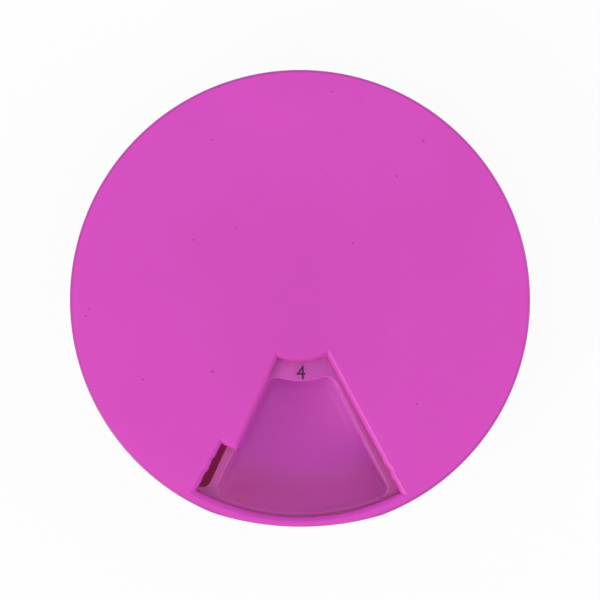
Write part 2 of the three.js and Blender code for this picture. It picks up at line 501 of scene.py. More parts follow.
# %% Two large faces in place of many triangles
def halved(bm, height):
    """Merges a level region with a hole in it into two faces that meet along the middle."""
    level = at_height(height)
    faces = [f for f in bm.faces if all(level(v.co) for v in f.verts)]
    edges = unique(e for f in faces for e in f.edges)
    verts = unique(v for f in faces for v in f.verts)
    region = faces + edges + verts
    bmesh.ops.bisect_plane(bm, geom=region, dist=merge_distance, plane_co=ORIGIN, plane_no=SIDEWAYS)
    inner = [
        e
        for e in bm.edges
        if len(e.link_faces) == 2
        and all(level(v.co) for f in e.link_faces for v in f.verts)
        and max(abs(v.co.x) for v in e.verts) > merge_distance
    ]
    bmesh.ops.dissolve_edges(bm, edges=inner, use_verts=False, use_face_split=False)
    bmesh.ops.delete(bm, geom=[v for v in bm.verts if not v.link_edges], context="VERTS")
    passed = [v for v in bm.verts if len(v.link_edges) == 2 and level(v.co) and not v.is_boundary]
    bmesh.ops.dissolve_verts(bm, verts=passed)


bm = bmesh.new()
lid_plate(bm)
triangles = len(bm.faces)
halved(bm, top)
print("merging the lid's top takes away", triangles - len(bm.faces), "faces")
bm.free()

# %% The whole lid
window_edge_radius = 0.85 * MM
window_edge_shape = 0.3
window_edge_segments = 8
lid_edge_radius = 0.5 * MM
lid_edge_segments = 6
skirt_foot_radius = 0.3 * MM
skirt_foot_segments = 4
rest_turn = math.radians(1.5)


def make_lid():
    bm = bmesh.new()
    lid_plate(bm)
    lid_pivot(bm)
    halved(bm, top)
    round_corners(bm, top, 0, skirt_inner, window_edge_radius, window_edge_segments, window_edge_shape)
    round_corners(bm, top, skirt_inner, math.inf, lid_edge_radius, lid_edge_segments)
    outside = skirt_inner + skirt_thickness / 4
    round_corners(bm, skirt_bottom, outside, math.inf, skirt_foot_radius, skirt_foot_segments)
    bmesh.ops.rotate(bm, verts=bm.verts, cent=ORIGIN, matrix=Matrix.Rotation(rest_turn, 3, AXIS))
    return finished(bm, "lid_moulding", "cover", ["lid"])


lid = make_lid()

# %% [markdown]
# ## A compartment of the tray
#
# A compartment is a trough between two dividers. Its floor scoops up gently to the hub and in a
# wide curve to the outer wall, so that a fingertip can slide a tablet out. One section of the
# trough, spun through a seventh of a turn, gives the scooped floor with both its end walls. Its
# two open sides then become the dividers' faces.
#
# A divider is equally thick along its length at any height, so the spun columns of points are
# moved from radii to lines that run parallel to it. The floor rises a little towards both
# dividers, and each divider's foot is rounded by a bevel.

# %% The section of a compartment
days = 7
day_angle = TURN / days
floor_height = 1.6 * MM
hub_radius = 15.7 * MM
pocket_outer = 41.3 * MM
inner_scoop = 4 * MM
outer_scoop = 9 * MM
scoop_steps = 12
pocket_cuts = 11


def pocket_section(bm):
    """The section of a compartment, from the hub's edge down, along the floor and up the wall."""
    rim_in = bm.verts.new(plan_point(hub_radius, 0, tray_top))
    rim_out = bm.verts.new(plan_point(pocket_outer, 0, tray_top))
    near = plan_point(hub_radius + inner_scoop, 0, floor_height + inner_scoop)
    near_wall = plan_point(hub_radius, 0, floor_height + inner_scoop)
    far = plan_point(pocket_outer - outer_scoop, 0, floor_height + outer_scoop)
    far_floor = plan_point(pocket_outer - outer_scoop, 0, floor_height)
    first = arc(bm, near, near_wall, SIDEWAYS, -TURN / 4, scoop_steps)
    last = arc(bm, far, far_floor, SIDEWAYS, -TURN / 4, 2 * scoop_steps)
    joined(bm, [(rim_in, first[0]), (first[1], last[0]), (last[1], rim_out)], pocket_cuts)


bm = bmesh.new()
pocket_section(bm)
print("along the section it is", round(sum(e.calc_length() for e in bm.edges) / MM, 1), "mm")
bm.free()

# %% The compartment between its dividers
divider_thickness = 1.6 * MM
divider_foot = 2 * MM
foot_segments = 8
foot_margin = 1.15       # of the foot's radius, so that its bevel doesn't reach the next column
draft = 0.8 * MM
cross_rise = 0.7 * MM
pocket_steps = 30
half_day = day_angle / 2
angle_slack = 0.01


def pocket_sides(bm):
    """Closes both ends of the spun trough, and returns the edges round the two new faces' feet."""
    feet = []
    for sign in (-1, 1):
        end = [v for v in bm.verts if abs(plan_angle(v.co) - sign * half_day) < angle_slack]
        edges = loop_edges(end)
        rim = [v for v in end if at_height(tray_top)(v.co)]
        filled(bm, edges + [bm.edges.new(rim)])
        feet += edges
    return feet


def drawn_in(bm):
    """Moves the columns to lines parallel to the dividers, and raises the floor towards both."""
    last_inner = (pocket_steps - 2) / pocket_steps
    for vert in bm.verts:
        radius, share = plan_radius(vert.co), plan_angle(vert.co) / half_day
        depth = (tray_top - vert.co.z) / (tray_top - floor_height)
        wall = divider_thickness / 2 + draft * depth
        angle = share * side_angle(half_day, wall, radius)
        if abs(share) < last_inner + angle_slack:
            foot = wall + divider_foot * foot_margin
            angle = share / last_inner * side_angle(half_day, foot, radius)
        vert.co = plan_point(radius, angle, vert.co.z + cross_rise * depth * share**2)


def make_pocket(bm):
    """One compartment, its middle in front, with open rims."""
    pocket_section(bm)
    section = list(bm.edges)
    bmesh.ops.rotate(bm, verts=bm.verts, cent=ORIGIN, matrix=Matrix.Rotation(-half_day, 3, AXIS))
    bmesh.ops.spin(
        bm, geom=section, cent=ORIGIN, axis=AXIS, angle=day_angle, steps=pocket_steps, use_merge=False
    )
    feet = pocket_sides(bm)
    drawn_in(bm)
    bmesh.ops.recalc_face_normals(bm, faces=bm.faces)
    round_edges(bm, feet, divider_foot, foot_segments)


bm = bmesh.new()
make_pocket(bm)
print("one compartment:", len(bm.verts), "points,", len(bm.faces), "faces")
bm.free()

# %% [markdown]
# ## The tray round its compartments
#
# Everything outside and under the compartments is one turned surface: the outer wall that the
# skirt slips over, the rim, a groove under the rim that saves plastic, the open well under the
# hub and the pivot tube in it. Its section is written as a few radii and heights and spun
# through a full turn.
#
# The tray's top is made a seventh at a time. The compartment's rim, two arcs and one round
# dimple for the click nub are drawn, and the space between them is filled. Seven copies,
# turned, close the ring.

# %% The turned outside and underside
rim_radius = 44.3 * MM
rim_height = 6 * MM
rim_wall = 1.5 * MM
tray_wall = 42.6 * MM
groove_width = 4.2 * MM
well_radius = 14.1 * MM
well_ceiling = 16.1 * MM
tube_bore = 3.8 * MM
tube_radius = 5.4 * MM
tube_bottom = 5.6 * MM


def turned(bm, points, steps):
    """Turns a section of radius and height about the pivot axis into a surface."""
    verts = [bm.verts.new(plan_point(radius, 0, height)) for radius, height in points]
    section = verts + [bm.edges.new(pair) for pair in zip(verts, verts[1:])]
    bmesh.ops.spin(bm, geom=section, cent=ORIGIN, axis=AXIS, angle=TURN, steps=steps, use_merge=True)


def tray_section():
    """From the top of the outer wall, down over the rim, under the tray and up the pivot tube's bore."""
    groove_outer = rim_radius - rim_wall
    groove_inner = groove_outer - groove_width
    run = groove_inner - (pocket_outer - outer_scoop)
    groove_low = outer_scoop - math.sqrt(outer_scoop**2 - run**2)
    return [
        (tray_wall, tray_top),
        (tray_wall, rim_height),
        (rim_radius, rim_height),
        (rim_radius, 0),
        (groove_outer, 0),
        (groove_outer, rim_height - floor_height),
        (groove_inner, groove_low),
        (groove_inner, 0),
        (well_radius, 0),
        (well_radius, well_ceiling),
        (tube_radius, well_ceiling),
        (tube_radius, tube_bottom),
        (tube_bore, tube_bottom),
        (tube_bore, tray_top),
    ]


print("the tray's section, mm:", [(round(r / MM, 1), round(z / MM, 1)) for r, z in tray_section()])

# %% A seventh of the tray's top
sector_steps = 40
dimple_radius = 1.6 * MM
dimple_depth = 0.35 * MM
dimple_steps = 24
dimple_slack = 0.15 * MM


def tray_sector(bm):
    """One compartment with a seventh of the tray's top and one click dimple."""
    make_pocket(bm)
    centre = (0, 0, tray_top)
    outer_start = plan_point(tray_wall, -half_day, tray_top)
    inner_start = plan_point(tube_bore, -half_day, tray_top)
    outer = arc(bm, centre, outer_start, AXIS, day_angle, sector_steps)
    inner = arc(bm, centre, inner_start, AXIS, day_angle, sector_steps)
    for pair in zip(outer, inner):
        bm.edges.new(pair)
    middle = plan_point(click_radius, 0, tray_top)
    ring(bm, dimple_radius, middle, dimple_steps)
    level = at_height(tray_top)
    rims = [e for e in bm.edges if len(e.link_faces) < 2 and all(level(v.co) for v in e.verts)]
    bmesh.ops.triangle_fill(bm, edges=rims, use_beauty=True, normal=AXIS)
    halved(bm, tray_top)
    rim = loop_edges([v for v in bm.verts if (v.co - middle).length < dimple_radius + dimple_slack])
    dome(bm, filled(bm, [e for e in rim if e.is_boundary]), dimple_radius, -dimple_depth)


bm = bmesh.new()
tray_sector(bm)
print("a seventh of the tray:", len(bm.verts), "points,", len(bm.faces), "faces")
bm.free()

# %% [markdown]
# ## The whole tray
#
# Under the hub four ribs hold the pivot tube upright. Each is a plain bar with its ends inside
# the tube and the wall of the well, where they can't be seen. A spin operator with copies
# places three more from the first, and the same operator copies the seventh of the tray.
# The rims of the compartments have only a very small rounding.

# %% The ribs round the pivot tube
rib_count = 4
rib_thickness = 1.2 * MM
rib_bottom = 7 * MM


def copied_round(bm, geometry, count):
    """Repeats these vertices, edges and faces to make an even ring of them about the axis."""
    bmesh.ops.spin(
        bm,
        geom=geometry,
        cent=ORIGIN,
        axis=AXIS,
        angle=TURN / count * (count - 1),
        steps=count - 1,
        use_duplicate=True,
    )


def add_ribs(bm):
    """Four ribs between the pivot tube and the wall of the well, with their ends inside both."""
    length = well_radius - tube_radius + rib_thickness
    height = well_ceiling - rib_bottom + rib_thickness
    size = Matrix.Diagonal((rib_thickness, length, height, 1))
    place = Matrix.Translation((0, -(well_radius + tube_radius) / 2, rib_bottom + height / 2))
    rib = bmesh.ops.create_cube(bm, size=1, matrix=place @ size)["verts"]
    copied_round(bm, unique(f for v in rib for f in v.link_faces), rib_count)


bm = bmesh.new()
add_ribs(bm)
print(rib_count, "ribs have", len(bm.faces), "faces")
bm.free()

# %% The tray
seam_distance = 0.005 * MM
edge_slack = 0.1 * MM
tray_edge_radius = 0.12 * MM
tray_edge_segments = 4
base_edge_radius = 0.8 * MM
base_edge_segments = 6
rim_edge_radius = 0.15 * MM
rim_edge_segments = 3


def make_tray():
    bm = bmesh.new()
    tray_sector(bm)
    bmesh.ops.recalc_face_normals(bm, faces=bm.faces)
    copied_round(bm, bm.verts[:] + bm.edges[:] + bm.faces[:], days)
    turned(bm, tray_section(), sector_steps * days)
    bmesh.ops.remove_doubles(bm, verts=bm.verts, dist=seam_distance)
    bmesh.ops.recalc_face_normals(bm, faces=bm.faces)
    outside = rim_radius - edge_slack
    round_corners(bm, tray_top, hub_radius - MM, math.inf, tray_edge_radius, tray_edge_segments)
    round_corners(bm, 0, outside, math.inf, base_edge_radius, base_edge_segments)
    round_corners(bm, rim_height, outside, math.inf, rim_edge_radius, rim_edge_segments)
    add_ribs(bm)
    return finished(bm, "tray_moulding", "base", ["tray"])


tray = make_tray()

# %% [markdown]
# ## The pin
#
# The pin is pressed from below into the lid's spigot, and its head holds the tray. It starts as
# a disc, which is extruded into the head. An inset draws the shank's circle on the head, and
# pushing that face up makes the shank. It turns with the lid.

# %% The pin
pin_radius = 1.6 * MM
pin_head_radius = 5.4 * MM
pin_head_thickness = 1.4 * MM
pin_head_gap = 0.1 * MM
pin_head_top = spigot_bottom - pin_head_gap
pin_tip_gap = 0.6 * MM
pin_tip = plate_under - pin_tip_gap
pin_steps = 96
pin_edge_radius = 0.3 * MM
pin_edge_segments = 5


def pin_edges(bm):
    """The pin's round edges, apart from the inner corner where its shank meets its head."""
    head = at_height(pin_head_top)
    return corner_edges(bm, lambda p: not head(p) or plan_radius(p) > pin_radius + MM)


def make_pin():
    bm = bmesh.new()
    place = Matrix.Translation((0, 0, pin_head_top - pin_head_thickness))
    bmesh.ops.create_circle(bm, cap_ends=True, segments=pin_steps, radius=pin_head_radius, matrix=place)
    plate = bmesh.ops.extrude_face_region(bm, geom=list(bm.faces))["geom"]
    moved_up(bm, plate, pin_head_thickness)
    bmesh.ops.recalc_face_normals(bm, faces=bm.faces)
    face = flat_face_at(bm, (0, 0, pin_head_top))
    inset(bm, face, pin_head_radius - pin_radius)
    push(bm, face, pin_tip - pin_head_top)
    bmesh.ops.recalc_face_normals(bm, faces=bm.faces)
    round_edges(bm, pin_edges(bm), pin_edge_radius, pin_edge_segments)
    bmesh.ops.rotate(bm, verts=bm.verts, cent=ORIGIN, matrix=Matrix.Rotation(rest_turn, 3, AXIS))
    return finished(bm, "pivot_pin_turned", "cover", ["pivot_pin"])


pin = make_pin()

# %% [markdown]
# ## The day numbers
#
# Each ledge of the hub carries a plain number in dark ink, pad-printed and so almost without
# thickness. A text object gives the figure as a flat mesh. It is narrowed a little, laid on
# the ledge, turned to its own day and extruded by a hair's breadth.

# %% The day numbers
number_height = 2.7 * MM
number_radius = 14.05 * MM
number_narrowing = 0.9
figure_steps = 6
ink_thickness = 0.02 * MM
front_number = 4


def number_mesh(text):
    """The figure as a flat mesh, in the font's own size."""
    curve = bpy.data.curves.new("figure", "FONT")
    curve.body = text
    curve.align_x = "CENTER"
    curve.resolution_u = figure_steps
    figure = bpy.data.objects.new("figure", curve)
    mesh = bpy.data.meshes.new_from_object(figure)
    bpy.data.objects.remove(figure)
    return mesh


def add_number(bm, text, turn):
    """Lays one figure on the front ledge and turns it to its day."""
    old = set(bm.verts)
    mesh = number_mesh(text)
    bm.from_mesh(mesh)
    bpy.data.meshes.remove(mesh)
    verts = [v for v in bm.verts if v not in old]
    low = Vector([min(v.co[i] for v in verts) for i in range(3)])
    high = Vector([max(v.co[i] for v in verts) for i in range(3)])
    scale = number_height / (high.y - low.y)
    to_middle = Matrix.Translation(-(low + high) / 2)
    size = Matrix.Diagonal((scale * number_narrowing, scale, scale, 1))
    place = Matrix.Translation((0, -number_radius, tray_top))
    to_day = Matrix.Rotation(turn, 4, AXIS)
    bmesh.ops.transform(bm, matrix=to_day @ place @ size @ to_middle, verts=verts)


def make_numbers():
    bm = bmesh.new()
    for day in range(days):
        add_number(bm, str((front_number - 1 + day) % days + 1), day * day_angle)
    bmesh.ops.remove_doubles(bm, verts=bm.verts, dist=merge_distance)
    raised = bmesh.ops.extrude_face_region(bm, geom=list(bm.faces))["geom"]
    moved_up(bm, raised, ink_thickness)
    return finished(bm, "day_numbers", "base")


numbers = make_numbers()

# %% [markdown]
# ## A small language for finishes
#
# A finish is a tree of nodes, and most of those only add or multiply. Written as Python
# expressions they read like arithmetic: a field wraps the output of a node, and a sum or a
# product of fields adds the Math node that works it out. A position is a field too, and uses
# Vector Math. Every other node comes from one method, which takes the node's type, then its
# settings, then what goes into its sockets. A finish is such a tree with a shader at its end.

# %% Fields
class Field:
    """A value or a position that varies over a surface. Arithmetic on it adds the nodes."""

    def __init__(self, nodes, socket, vector=False):
        self.nodes, self.socket, self.vector = nodes, socket, vector

    def math(self, operation, *values):
        """A Math node, or a Vector Math node for a position, with these values in its sockets."""
        kind = "ShaderNodeVectorMath" if self.vector else "ShaderNodeMath"
        made = self.nodes.node(kind, {"operation": operation}, dict(enumerate(values)))
        vector = self.vector and operation != "DISTANCE"
        return Field(self.nodes, made.outputs["Vector" if vector else "Value"], vector)

    def __add__(self, other):
        return self.math("ADD", self, other)

    def __radd__(self, other):
        return self.math("ADD", other, self)

    def __sub__(self, other):
        return self.math("SUBTRACT", self, other)

    def __rsub__(self, other):
        return self.math("SUBTRACT", other, self)

    def __mul__(self, other):
        return self.math("MULTIPLY", self, other)

    def __rmul__(self, other):
        return self.math("MULTIPLY", other, self)

    def most(self, other):
        """The larger of two fields at each place."""
        return self.math("MAXIMUM", self, other)

    def distance(self, place):
        """How far a position is from a place."""
        return self.math("DISTANCE", self, place)

    def part(self, name):
        """One of a position's three coordinates."""
        made = self.nodes.node("ShaderNodeSeparateXYZ", None, {0: self})
        return Field(self.nodes, made.outputs[name])

    def between(self, low, high, start=0.0, end=1.0):
        """Changes smoothly from start to end while the field goes from low to high."""
        made = self.nodes.node(
            "ShaderNodeMapRange",
            {"interpolation_type": "SMOOTHSTEP"},
            {"Value": self, "From Min": low, "From Max": high, "To Min": start, "To Max": end},
        )
        return Field(self.nodes, made.outputs["Result"])


print("a field knows", sum(not name.startswith("_") for name in vars(Field)), "named operations")

# %% Trees of nodes
class Nodes:
    """The nodes of a material or of the world, added one by one."""

    def __init__(self, tree):
        self.tree = tree

    def node(self, kind, settings=None, sockets=None):
        """Adds a node: first its settings, then what goes into its sockets."""
        made = self.tree.nodes.new(kind)
        for name, value in (settings or {}).items():
            setattr(made, name, value)
        for name, value in (sockets or {}).items():
            self.put(made.inputs[name], value)
        return made

    def put(self, socket, value):
        """Links a field or a node's output to a socket, or sets the socket's own value."""
        source = value.socket if isinstance(value, Field) else value
        if isinstance(source, bpy.types.NodeSocket):
            self.tree.links.new(source, socket)
        else:
            socket.default_value = source

    def seen(self):
        """1 for what the camera sees, also by way of gloss and glass, and 0 for plain lighting."""
        rays = self.node("ShaderNodeLightPath").outputs
        share = Field(self, rays["Is Camera Ray"])
        for kind in ("Is Glossy Ray", "Is Transmission Ray"):
            share = share.most(Field(self, rays[kind]))
        return share

    def blended(self, share, first, second):
        """One shader turning into another."""
        sockets = {0: share, 1: first.outputs[0], 2: second.outputs[0]}
        return self.node("ShaderNodeMixShader", None, sockets)

    def end(self, shader):
        """Makes this shader the one that the tree puts out."""
        last = next(node for node in self.tree.nodes if "Surface" in node.inputs)
        self.put(last.inputs["Surface"], shader.outputs[0])


def colour(red, green, blue):
    return (red, green, blue, 1)


print("a middle grey, with an alpha of 1:", colour(0.5, 0.5, 0.5))

# %% Materials
class Finish(Nodes):
    """A material with Blender's all-round shader."""

    def __init__(self, name):
        self.material = bpy.data.materials.new(name)
        self.material.use_nodes = True
        super().__init__(self.material.node_tree)
        self.shader = self.tree.nodes["Principled BSDF"]
        place = Field(self, self.node("ShaderNodeTexCoord").outputs["Object"], vector=True)
        self.millimetres = place * (1 / MM, 1 / MM, 1 / MM)

    def noise(self, where, scale, detail=2.0, roughness=0.5):
        """Noise between 0 and 1, its scale counted per millimetre."""
        sockets = {"Vector": where, "Scale": scale, "Detail": detail, "Roughness": roughness}
        return Field(self, self.node("ShaderNodeTexNoise", None, sockets).outputs[0])

    def mixed(self, share, first, second):
        """One colour or field of colour turning into another."""
        made = self.node("ShaderNodeMix", {"data_type": "RGBA"}, {0: share, 6: first, 7: second})
        return Field(self, made.outputs[2])

    def bump(self, height, distance):
        """Makes the surface look raised where the field is high."""
        made = self.node("ShaderNodeBump", None, {"Height": height, "Distance": distance})
        self.put(self.shader.inputs["Normal"], made.outputs[0])

    def surface(self, **sockets):
        """Sets the shader's sockets, named with _ for a space."""
        for name, value in sockets.items():
            self.put(self.shader.inputs[name.replace("_", " ")], value)
        return self.material


print("a finish adds", sum(not name.startswith("_") for name in vars(Finish)), "methods to a tree's own")

# %% [markdown]
# ## The magenta plastic
#
# The plastic is coloured through, with a satin surface from the tool. What makes it look real is
# small: a faint cloudiness of the pigment, a fine grain, and hairline scratches from a pocket.
# All of it is computed from the position on the piece, in millimetres, so that it stays on the
# piece when the lid turns. A hairline is noise that is stretched about thirty times in one
# direction and cut off so high that only thin crests are left.

# %% Hairline scratches
hairline_stretch = 0.03
hairline_crests = (0.66, 0.72)
hairline_detail = 1.0


def hairlines(finish, angle, scale):
    """Thin straight scratches in one direction, as a mask between 0 and 1."""
    sockets = {
        "Vector": finish.millimetres,
        "Rotation": (0, 0, angle),
        "Scale": (1, hairline_stretch, 1),
    }
    along = Field(finish, finish.node("ShaderNodeMapping", None, sockets).outputs[0], vector=True)
    return finish.noise(along, scale, hairline_detail).between(*hairline_crests)


print("a scratch is about", round(1 / hairline_stretch), "times as long as it is wide")

# %% Cloudy pigment and satin grain
cloud_scale = 0.045
thin_clouds = (0.3, 0.5)
thick_clouds = (0.5, 0.72)
fine_detail = 2.0
coarse_detail = 3.0
patch_scale = 0.12
patch_span = (0.35, 0.65)
patch_swing = 0.03
first_scratches = {"angle": 0.6, "scale": 1.6}
second_scratches = {"angle": 2.1, "scale": 1.3}
scratch_roughness = 0.05
grain_share = 0.6
scratch_share = 0.25
grain_depth = 0.01 * MM


def moulded_plastic(finish, shades, roughness, grain):
    """Cloudy pigment in three shades, satin grain and scratches. Returns the pigment."""
    deep, plain, pale = shades
    where = finish.millimetres
    clouds = finish.noise(where, cloud_scale, coarse_detail)
    base = finish.mixed(clouds.between(*thin_clouds), deep, plain)
    base = finish.mixed(clouds.between(*thick_clouds), base, pale)
    fine = finish.noise(where, grain, fine_detail)
    scratches = hairlines(finish, **first_scratches).most(hairlines(finish, **second_scratches))
    patches = finish.noise(where, patch_scale, fine_detail)
    patches = patches.between(*patch_span, -patch_swing, patch_swing)
    finish.surface(Roughness=patches + roughness + scratches * scratch_roughness)
    finish.bump(fine * grain_share - scratches * scratch_share, grain_depth)
    return base


print("clouds in the pigment are about", round(1 / cloud_scale), "mm across")

# %% [markdown]
# ## Marks on the lid
#
# A dozen dark specks were moulded into the lid, and there are two faint smudges and a small
# nick at the back. A mark is a soft spot round a place on the lid's top: the distance from
# that place, turned into a mask.

# %% Specks and smudges
speck_places = [
    (-16.7, 31.2), (6.6, 40.2), (24.2, 30.4), (19.0, 23.7), (10.3, 10.9), (-20.4, 11.9),
    (-12.1, 14.2), (-40.7, -1.3), (-41.4, -2.6), (-30.6, -15.0), (-17.1, -13.6), (22.3, -20.4),
]
speck_sizes = [0.22, 0.2, 0.26, 0.2, 0.2, 0.2, 0.14, 0.2, 0.2, 0.2, 0.24, 0.2]
nick_place = (-15.2, 41.4)
nick_size = 0.25
smudge_places = [(12.1, 38.0), (5.5, 23.9)]
smudge_sizes = [0.9, 0.8]
mark_core = 0.4
mark_reach = 1.3


def marks(where, places, sizes, height):
    """How far a position lies inside the nearest mark: 1 in its middle and 0 outside it."""
    found = None
    for (x, y), size in zip(places, sizes):
        away = where.distance((x, y, height))
        mark = away.between(mark_core * size, mark_reach * size, 1, 0)
        found = mark if found is None else found.most(mark)
    return found


print(len(speck_places), "specks,", len(smudge_places), "smudges and a nick")

# %% [markdown]
# ## The lid's finish
#
# The lid's pigment takes the marks. A slightly darker middle is painted shade, and so is a darker band
# on the rounding of its rim.
#
# A little light comes through a plate this thin. The shader scatters light close under the
# surface but lets none through, so the underside of the plate glows faintly by itself. That
# shows only in the deep slot of the notch.

# %% The lid's pigment and marks
lid_top = top / MM
lid_shades = [colour(0.605, 0.047, 0.45), colour(0.62, 0.049, 0.462), colour(0.635, 0.051, 0.475)]
lid_roughness = 0.42
lid_grain = 9.0
smudge_and_shade_tint = colour(0.2, 0.01, 0.15)
smudge_share = 0.07
# Painted shade: how far and how much the lid darkens towards its middle, in the smudges' tint.
middle_shade_reach = (6, 30)
middle_shade_share = 0.08
speck_tint = colour(0.09, 0.01, 0.1)
speck_share = 0.75

lid_finish = Finish("lid_plastic")
lid_place = lid_finish.millimetres
base = moulded_plastic(lid_finish, lid_shades, lid_roughness, lid_grain)
# Painted shade: the lid's colour darkens a little towards its middle.
painted_middle_shade = lid_place.distance((0, 0, lid_top)).between(*middle_shade_reach, middle_shade_share, 0)
base = lid_finish.mixed(painted_middle_shade, base, smudge_and_shade_tint)
smudges = marks(lid_place, smudge_places, smudge_sizes, lid_top)
base = lid_finish.mixed(smudges * smudge_share, base, smudge_and_shade_tint)
specks = marks(lid_place, speck_places + [nick_place], speck_sizes + [nick_size], lid_top)
base = lid_finish.mixed(specks * speck_share, base, speck_tint)
print("lid so far:", len(lid_finish.tree.nodes), "nodes")

# %% The lid's painted rim shade and the light through its plate
IN_PLAN = (1, 1, 0)
edge = lid_radius / MM
plate_low = plate_under / MM
skirt_edge = skirt_inner / MM
under_the_top = (lid_top - 0.15, lid_top - 0.015)
over_the_side = (lid_top - 0.8, lid_top - 0.5)
round_the_top = (edge - 0.6, edge - 0.45)
near_the_edge = (edge - 1.3, edge - 1.0)
under_the_plate = (plate_low - 0.6, plate_low - 0.3)
in_the_plate = (plate_low + 0.02, plate_low + 0.1)
near_the_skirt = (skirt_edge - 0.5, skirt_edge - 0.1)
# Painted shade: a darker tint for the rounding of the lid's rim.
rim_shade_tint = colour(0.27, 0.02, 0.2)
rim_shade_share = 0.5
through_tint = colour(0.3, 0.15, 0.13)
scatter_reach = (1.0, 0.5, 0.9)

lid_height = lid_place.part("Z")
lid_across = (lid_place * IN_PLAN).distance((0, 0, 0))
# The painted rim shade covers the rounding where the lid's top turns down into its side.
past_the_top = lid_height.between(*under_the_top, 1, 0).most(lid_across.between(*round_the_top))
painted_rim_shade = lid_height.between(*over_the_side) * past_the_top * lid_across.between(*near_the_edge)
base = lid_finish.mixed(painted_rim_shade * rim_shade_share, base, rim_shade_tint)

underside = lid_height.between(*in_the_plate, 1, 0) * lid_height.between(*under_the_plate)
underside = underside * lid_across.between(*near_the_skirt, 1, 0)
through = lid_finish.mixed(underside, colour(0, 0, 0), through_tint)

lid_finish.surface(Subsurface_Weight=0.3, Subsurface_Scale=3 * MM, Subsurface_Radius=scatter_reach)
lid_finish.surface(Base_Color=base, Emission_Color=through, Emission_Strength=1.0)
lid.data.materials.append(lid_finish.material)
print("lid finished:", len(lid_finish.tree.nodes), "nodes")

# %% [markdown]
# ## The tray's finish
#
# Light that falls through the window bounces about in the compartment, and it is painted into the
# plastic's colour: paler there, pink near the hub and redder along the outer scoop. The upper walls get
# painted shade, and so do the dividers' tops and the hub's ledge, close under the lid. These painted
# shades are set by height and by distance from the axis, so that every compartment has them, whichever
# one the window shows.

# %% The tray's zones
tray_shades = [colour(0.62, 0.078, 0.47), colour(0.635, 0.08, 0.48), colour(0.65, 0.082, 0.49)]
tray_roughness = 0.45
tray_grain = 7.0
level_top = tray_top / MM
floor_level = floor_height / MM
hub_edge = hub_radius / MM
pocket_edge = pocket_outer / MM
wall_edge = tray_wall / MM
up_to_the_top = (level_top - 0.8, level_top - 0.1)
up_to_the_floor = (floor_level - 1.0, floor_level - 0.2)
up_the_wall = (6, 17.5)
out_to_the_hub = (hub_edge - 1.1, hub_edge - 0.3)
past_the_ledge = (18, 20)
out_to_the_pocket = (pocket_edge - 0.9, pocket_edge + 0.1)
out_to_the_wall = (wall_edge - 0.4, wall_edge - 0.05)

tray_finish = Finish("tray_plastic")
outside = moulded_plastic(tray_finish, tray_shades, tray_roughness, tray_grain)
height = tray_finish.millimetres.part("Z")
outward = (tray_finish.millimetres * IN_PLAN).distance((0, 0, 0))
at_the_top = height.between(*up_to_the_top)
within_the_wall = 1 - outward.between(*out_to_the_wall)
low_or_outer = (1 - at_the_top).most(outward.between(*out_to_the_pocket))
above_the_floor = height.between(*up_to_the_floor) * low_or_outer
# The compartment's painted light and shade go everywhere in it below the tops.
in_trough = above_the_floor * outward.between(*out_to_the_hub) * within_the_wall
# Painted shade on the upper walls, higher up and out past the ledge.
upper_wall = height.between(*up_the_wall) * outward.between(*past_the_ledge)
print("tray so far:", len(tray_finish.tree.nodes), "nodes")

# %% The tray's painted light and shade
# Painted light and shade: the paler colours stand in for light bounced about in a compartment, and the
# darker ones for shade on its walls, on the dividers' tops and on the hub's ledge.
floor_painted_light = colour(0.775, 0.165, 0.71)
scoop_painted_light = colour(0.715, 0.187, 0.53)
wall_painted_shade = colour(0.54, 0.12, 0.4)
divider_near_painted_shade = colour(0.53, 0.079, 0.42)
divider_far_painted_shade = colour(0.475, 0.077, 0.33)
ledge_painted_shade = colour(0.575, 0.082, 0.45)
along_the_scoop = (31, 40)
along_the_dividers = (18, 33)
round_the_ledge = (hub_edge - 0.8, hub_edge - 0.1)

# Painted bounce light on the floor, redder along the scoop, and painted shade on the upper walls.
inside = tray_finish.mixed(outward.between(*along_the_scoop), floor_painted_light, scoop_painted_light)
inside = tray_finish.mixed(upper_wall, inside, wall_painted_shade)
base = tray_finish.mixed(in_trough, outside, inside)
# Painted shade on the dividers' tops, deeper outwards, and on the hub's ledge.
dividers = tray_finish.mixed(outward.between(*along_the_dividers), divider_near_painted_shade, divider_far_painted_shade)
tops = tray_finish.mixed(outward.between(*round_the_ledge), ledge_painted_shade, dividers)
base = tray_finish.mixed(at_the_top * within_the_wall, base, tops)
tray_finish.surface(Subsurface_Weight=1.0, Subsurface_Scale=1.8 * MM, Subsurface_Radius=scatter_reach)
tray_finish.surface(Base_Color=base, Specular_IOR_Level=0.3)
tray.data.materials.append(tray_finish.material)
print("tray finished:", len(tray_finish.tree.nodes), "nodes")

# %% [markdown]
# ## The pin's plastic and the ink
#
# The pin is moulded from the same plastic and sees no wear, so it takes the plain recipe. The
# ink is a thin dark purple film, a little uneven, as a pad leaves it, and duller than the
# plastic round it.

# %% The pin's finish
pin_shades = [colour(0.6, 0.044, 0.46), colour(0.615, 0.046, 0.472), colour(0.63, 0.048, 0.485)]

pin_finish = Finish("pin_plastic")
base = moulded_plastic(pin_finish, pin_shades, tray_roughness, tray_grain)
pin.data.materials.append(pin_finish.surface(Base_Color=base))
print("pin finished:", len(pin_finish.tree.nodes), "nodes")

# %% The ink's finish
ink_scale = 3.0
ink_dark = colour(0.07, 0.004, 0.05)
ink_thin = colour(0.1, 0.007, 0.075)
ink_cover = (0.35, 0.7)
ink_gloss = {"low": 0.3, "high": 0.7, "start": 0.5, "end": 0.62}
ink_depth = 0.004 * MM

